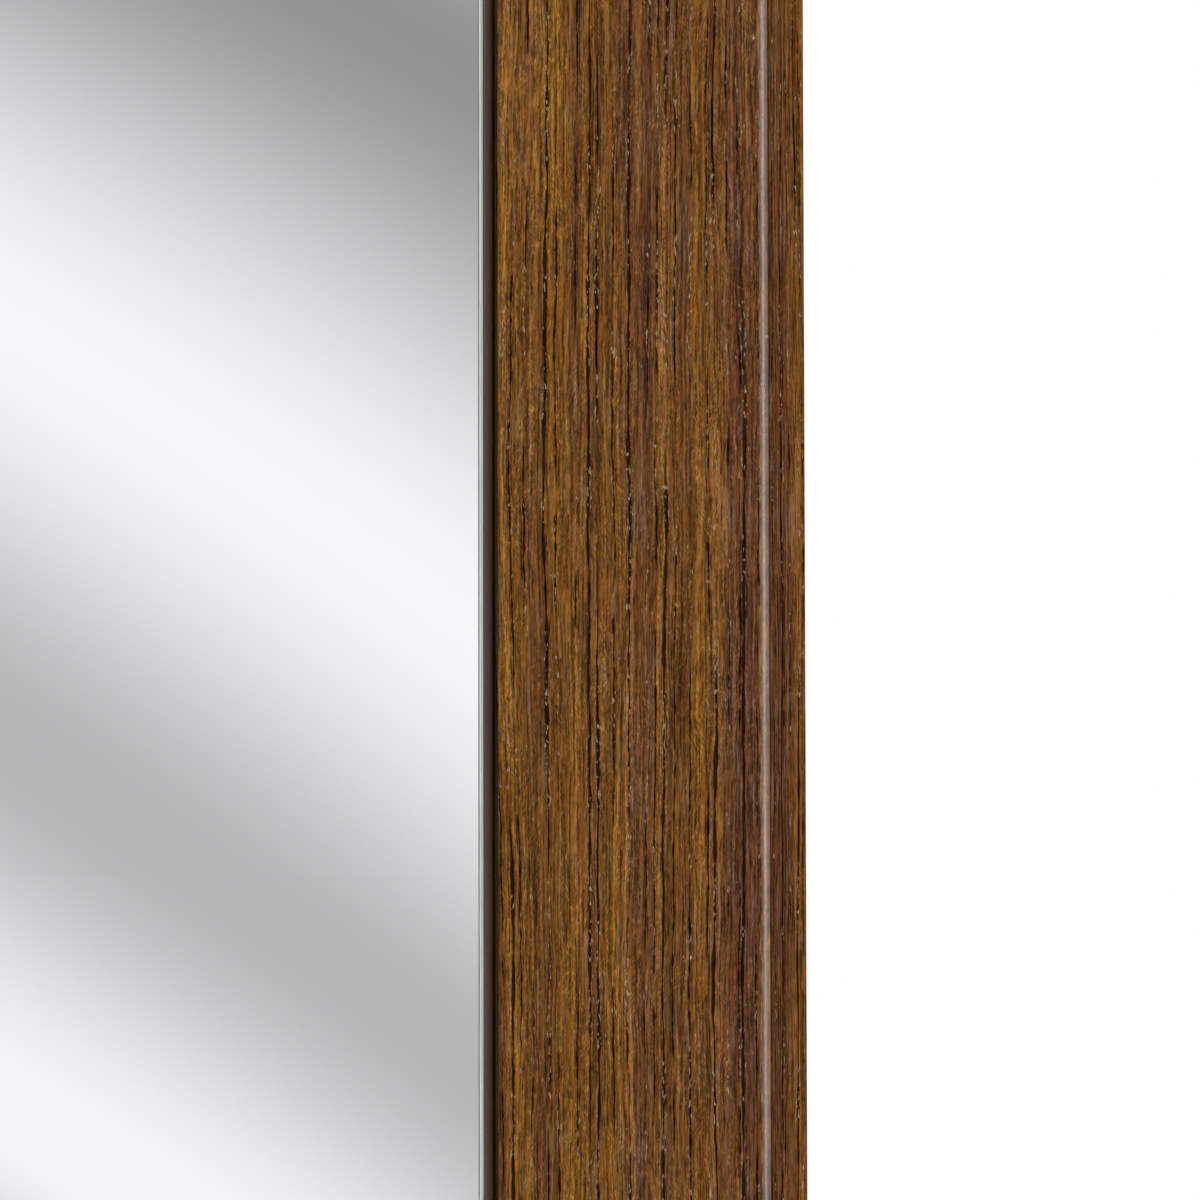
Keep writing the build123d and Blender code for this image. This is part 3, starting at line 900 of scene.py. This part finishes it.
def softMaterial(name, color, dusty, rough, dusting, pimple):
    material, tree, surface = newMaterial(name, specular=0.35)
    position = objectPosition(tree)
    wear = useGroup(tree, handlingWear, Position=position, Amount=dusting)
    tint = blendColor(tree, times(tree, wear["Blotch"], dusting), color, dusty)
    tint = blendColor(tree, times(tree, wear["Scuff"], dusting), tint, dusty)
    tree.links.new(tint, surface.inputs["Base Color"])
    feed(tree, surface.inputs["Roughness"], spread(tree, wear["Blotch"], 0.0, 1.0, rough, rough + 0.1))
    pimples = grainNoise(tree, position, (pimple, pimple, pimple), 2.0, 0.6)
    bumpFrom(tree, surface, pimples, 0.05 * mm)
    return material


def boardMaterial():
    # pressed fibreboard, sanded
    material, tree, surface = newMaterial("panelBoard", specular=0.2)
    position = objectPosition(tree)
    fibres = grainNoise(tree, position, (2.6, 1.0, 1.4), 4.0, 0.75)
    cloud = grainNoise(tree, position, (150, 150, 110), 2.0, 0.5, (4.0, 2.0, 9.0))
    color = blendColor(tree, spread(tree, cloud, 0.3, 0.7), seen(163, 131, 94), seen(170, 138, 100))
    color = blendColor(tree, spread(tree, fibres, 0.52, 0.72, 0.0, 0.7), color, seen(112, 82, 54))
    color = blendColor(tree, spread(tree, fibres, 0.46, 0.28, 0.0, 0.55), color, seen(204, 176, 138))
    tree.links.new(color, surface.inputs["Base Color"])
    surface.inputs["Roughness"].default_value = 0.78
    bumpFrom(tree, surface, fibres, 0.05 * mm)
    return material


finishes = {
    "mitre_biscuit": beechMaterial(),
    "v_nails": steelMaterial("nailSteel", seen(120, 122, 128), seen(86, 84, 84), 0.35, 0.5),
    "safety_film": softMaterial("safetyFilm", seen(150, 156, 160), seen(176, 180, 182), 0.6, 0.3, 0.8),
    "tape_strip": softMaterial("foamTape", seen(226, 226, 222), seen(198, 198, 192), 0.85, 0.3, 0.35),
    "backing_panel": boardMaterial(),
    "spacer_": softMaterial("spacerPlastic", seen(34, 34, 36), seen(84, 84, 84), 0.5, 0.3, 0.4),
    "panel_screws": steelMaterial("screwSteel", seen(206, 200, 176), seen(150, 142, 120), 0.26, 0.6),
    "hanger_screws": steelMaterial("screwHeadSteel", seen(208, 208, 206), seen(150, 150, 148), 0.24, 0.5),
    "hanger_": steelMaterial("hangerSteel", seen(196, 196, 194), seen(138, 136, 132), 0.28, 0.7),
    "wall_bumper": softMaterial("bumperRubber", seen(92, 90, 88), seen(140, 136, 130), 0.62, 0.4, 0.5),
}
for name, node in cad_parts.items():
    start = next((key for key in finishes if name.startswith(key)), None)
    if start:
        for slot in node.material_slots:
            slot.material = finishes[start]
print("finishes ready")


# light, floor and camera

def worldLight():
    world = bpy.data.worlds.new("studio")
    bpy.context.scene.world = world
    world.use_nodes = True
    tree = world.node_tree
    background = tree.nodes["Background"]
    direction = tree.nodes.new("ShaderNodeTexCoord").outputs["Generated"]
    shiny = useGroup(tree, softStudio, Direction=direction)["Light"]
    split = tree.nodes.new("ShaderNodeSeparateXYZ")
    tree.links.new(direction, split.inputs[0])
    matt = spread(tree, split.outputs[0], -1.0, 1.0, studioLight["fromLeft"], studioLight["fromRight"])
    path = tree.nodes.new("ShaderNodeLightPath").outputs
    polished = calc(tree, "MAXIMUM", path["Is Glossy Ray"], path["Is Transmission Ray"])
    light = blendColor(tree, polished, matt, shiny)
    light = blendColor(tree, path["Is Camera Ray"], light, grey(1.0))
    tree.links.new(light, background.inputs["Color"])
    background.inputs["Strength"].default_value = 1.0


floor = {
    "reach": 40.0,
    "color": seen(238, 238, 238),
    "shadowReach": (0.7, 2.2),     # where the shaded floor fades into the plain backdrop, outwards
}


def floorPiece():
    reach = floor["reach"]
    mesh = bpy.data.meshes.new("floor")
    corners = [(-reach, -reach, 0), (reach, -reach, 0), (reach, reach, 0), (-reach, reach, 0)]
    mesh.from_pydata(corners, [], [(0, 1, 2, 3)])
    piece = bpy.data.objects.new("floor", mesh)
    bpy.context.collection.objects.link(piece)
    material = bpy.data.materials.new("paleFloor")
    material.use_nodes = True
    tree = material.node_tree
    tree.nodes.clear()
    output = tree.nodes.new("ShaderNodeOutputMaterial")
    place = tree.nodes.new("ShaderNodeNewGeometry").outputs["Position"]
    matt = tree.nodes.new("ShaderNodeBsdfDiffuse")
    matt.inputs["Color"].default_value = floor["color"]
    plain = tree.nodes.new("ShaderNodeEmission")
    reflected = tree.nodes.new("ShaderNodeEmission")
    towards = tree.nodes.new("ShaderNodeVectorMath")
    towards.operation = "ADD"
    feed(tree, towards.inputs[0], place)
    towards.inputs[1].default_value = studioLight["centre"]
    feed(tree, reflected.inputs["Color"], useGroup(tree, softStudio, Direction=towards.outputs[0])["Light"])
    away = tree.nodes.new("ShaderNodeVectorMath")
    away.operation = "LENGTH"
    feed(tree, away.inputs[0], place)
    path = tree.nodes.new("ShaderNodeLightPath").outputs
    near, far = floor["shadowReach"]
    fade = times(tree, spread(tree, away.outputs["Value"], near, far), path["Is Camera Ray"])
    first = tree.nodes.new("ShaderNodeMixShader")
    feed(tree, first.inputs[0], fade)
    tree.links.new(matt.outputs[0], first.inputs[1])
    tree.links.new(plain.outputs[0], first.inputs[2])
    second = tree.nodes.new("ShaderNodeMixShader")
    feed(tree, second.inputs[0], calc(tree, "MAXIMUM", path["Is Glossy Ray"], path["Is Transmission Ray"]))
    tree.links.new(first.outputs[0], second.inputs[1])
    tree.links.new(reflected.outputs[0], second.inputs[2])
    tree.links.new(second.outputs[0], output.inputs["Surface"])
    mesh.materials.append(material)


lamps = {
    # where each stands, what it points at, its size in metres, its watts, and whether shiny surfaces see it
    "frontLight": ((0.9, -2.2, 1.7), (0.0, 0.0, 0.4), (1.6, 1.6), 22.0, False),
    "edgeLight": ((1.78, -0.60, 0.55), (0.3, 0.0, 0.4), (0.12, 1.7), 8.6, True),
    "backLight": ((-1.2, 2.2, 1.6), (0.0, 0.0, 0.4), (1.6, 1.6), 14.0, False),
}


def softbox(name, place, target, size, power, shows):
    light = bpy.data.lights.new(name, "AREA")
    light.shape = "RECTANGLE"
    light.size, light.size_y = size
    light.energy = power
    lamp = bpy.data.objects.new(name, light)
    bpy.context.collection.objects.link(lamp)
    lamp.location = place
    lamp.rotation_euler = (Vector(target) - Vector(place)).to_track_quat("-Z", "Y").to_euler()
    lamp.visible_glossy = shows
    lamp.visible_camera = False


camera = {
    "lookAt": (275.7 * mm, -11.0 * mm, 400.0 * mm),
    "distance": 701.9 * mm,
    "yaw": 16.68,            # degrees round from straight ahead, on the right-hand side
    "pitch": 2.65,
    "roll": -0.11,
    "lens": 150.0,
    "sensor": 36.0,
}


def placeCamera():
    data = bpy.data.cameras.new("camera")
    data.lens, data.sensor_width = camera["lens"], camera["sensor"]
    piece = bpy.data.objects.new("camera", data)
    bpy.context.collection.objects.link(piece)
    yaw, pitch, roll = (math.radians(camera[key]) for key in ("yaw", "pitch", "roll"))
    forward = Vector((-math.sin(yaw) * math.cos(pitch), math.cos(yaw) * math.cos(pitch), math.sin(pitch)))
    level = Vector((math.cos(yaw), math.sin(yaw), 0))
    above = level.cross(forward)
    side = level * math.cos(roll) + above * math.sin(roll)
    top = above * math.cos(roll) - level * math.sin(roll)
    turn = Matrix((side, top, -forward)).transposed().to_4x4()
    turn.translation = Vector(camera["lookAt"]) - forward * camera["distance"]
    piece.matrix_world = turn
    data.clip_end = 100.0
    bpy.context.scene.camera = piece


worldLight()
floorPiece()
for name, settings in lamps.items():
    softbox(name, *settings)
placeCamera()
bpy.context.scene.view_settings.view_transform = "Standard"
print("light, floor and camera ready")
